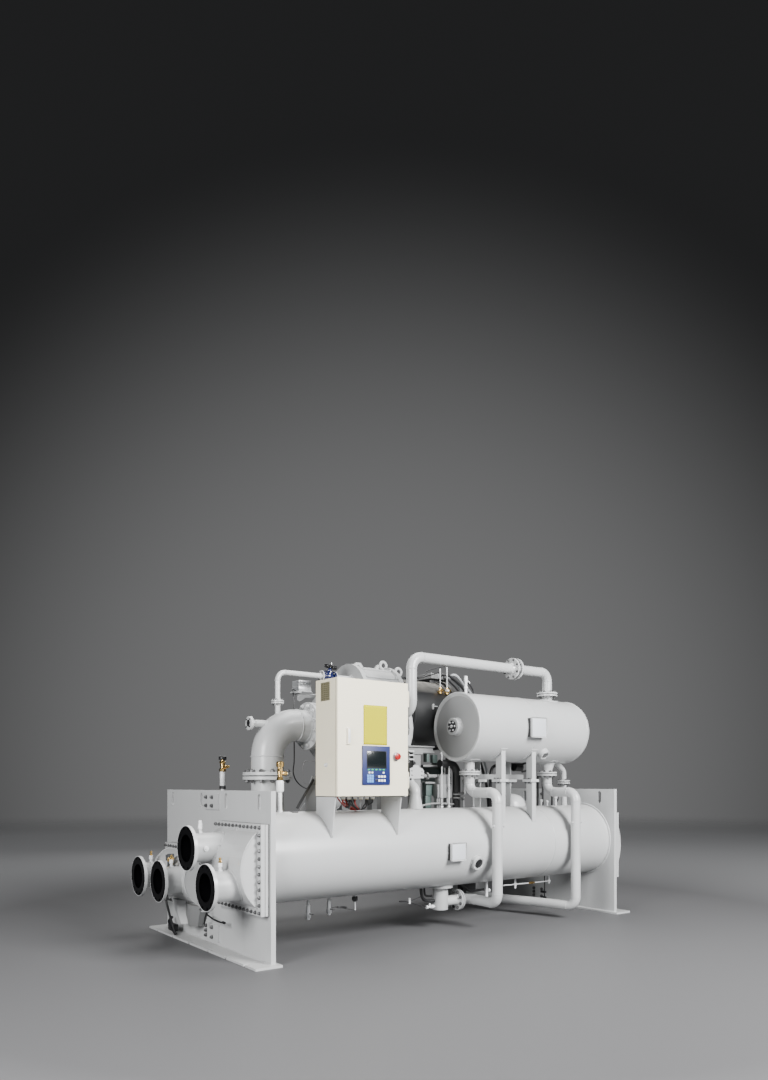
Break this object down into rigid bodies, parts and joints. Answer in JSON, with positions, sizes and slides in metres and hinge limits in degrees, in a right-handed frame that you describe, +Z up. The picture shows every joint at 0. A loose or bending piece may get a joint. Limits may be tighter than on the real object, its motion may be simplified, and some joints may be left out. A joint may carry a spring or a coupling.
{
  "type": "centrifugal chiller",
  "caption": "Water-cooled centrifugal chiller: two horizontal shells between end plates, compressor and motor on top, flash economizer on legs, flanged water nozzles and a control cabinet.",
  "frame": {"origin": "middle of the outline on the floor", "axes": "+X along the vessels, away from the water nozzles; +Y from the control cabinet side to the condenser side; +Z up"},
  "size_m": [4.35, 2.012, 2.438],
  "materials": {
    "grey_paint": "satin light grey machine enamel, sprayed",
    "ivory_paint": "fine ivory powder coat",
    "motor_paint": "dark grey enamel",
    "blue_paint": "glossy blue valve enamel",
    "oil_cooler_paint": "dark green grey enamel",
    "brass": "bare machined brass",
    "zinc_steel": "zinc plated steel",
    "black_rubber": "matt black cable sheath",
    "black_plastic": "matt black moulding",
    "black_paint": "black flange face paint",
    "red_plastic": "glossy red push button",
    "blue_plastic": "blue keypad housing",
    "yellow_sheet": "plain yellow sheet",
    "screen_glass": "dark display window"
  },
  "bodies": {
    "chiller": {"back_condenser_end_plate": "grey_paint", "back_evaporator_end_plate": "grey_paint", "balance_neck": "grey_paint", "balance_pipe": "grey_paint", "bypass_pipe": "grey_paint", "bypass_tail": "grey_paint", "cabinet_bracket_left": "ivory_paint", "cabinet_bracket_right": "ivory_paint", "cabinet_mounting_plate": "zinc_steel", "compressor_motor": "motor_paint", "compressor_volute": "grey_paint", "condenser_nozzle_far": "grey_paint", "condenser_nozzle_near": "grey_paint", "condenser_relief_valve": "brass", "condenser_return_cover": "grey_paint", "condenser_shell": "grey_paint", "condenser_water_box": "grey_paint", "control_cabinet": "ivory_paint", "discharge_pipe": "grey_paint", "economizer_leg_front_left": "grey_paint", "economizer_leg_front_right": "grey_paint", "economizer_leg_rear_left": "grey_paint", "economizer_leg_rear_right": "grey_paint", "economizer_tie_bar": "grey_paint", "economizer_vessel": "grey_paint", "evaporator_nozzle_lower": "grey_paint", "evaporator_nozzle_upper": "grey_paint", "evaporator_relief_valve": "brass", "evaporator_return_cover": "grey_paint", "evaporator_shell": "grey_paint", "evaporator_water_box": "grey_paint", "front_condenser_end_plate": "grey_paint", "front_evaporator_end_plate": "grey_paint", "gear_housing": "grey_paint", "guide_vane_actuator": "grey_paint", "liquid_line_left": "grey_paint", "liquid_line_right": "grey_paint", "motor_base": "grey_paint", "motor_cable": "black_rubber", "motor_leg_far_back": "grey_paint", "motor_leg_far_front": "grey_paint", "motor_leg_near_back": "grey_paint", "motor_leg_near_front": "grey_paint", "motor_terminal_box": "grey_paint", "oil_cooler": "oil_cooler_paint", "purge_valve": "blue_paint", "sensor_cable": "black_rubber", "suction_elbow": "grey_paint", "suction_riser": "grey_paint", "vent_check_valve": "grey_paint", "vent_pipe_back": "grey_paint", "vent_pipe_front": "grey_paint"},
    "door": {"control_door": "ivory_paint"},
    "handwheel": {"valve_handwheel": "black_plastic"}
  },
  "joints": [
    {"name": "control_door_hinge", "type": "hinge", "parent": "chiller", "child": "door", "pos_m": [-0.581, -0.9435, 1.175], "axis": [0, 0, 1], "range_deg": [0, 120]},
    {"name": "handwheel_spin", "type": "hinge", "parent": "chiller", "child": "handwheel", "pos_m": [-0.72924, -0.056, 2.27832], "axis": [0.28, 0, 0.96], "continuous": true}
  ]
}
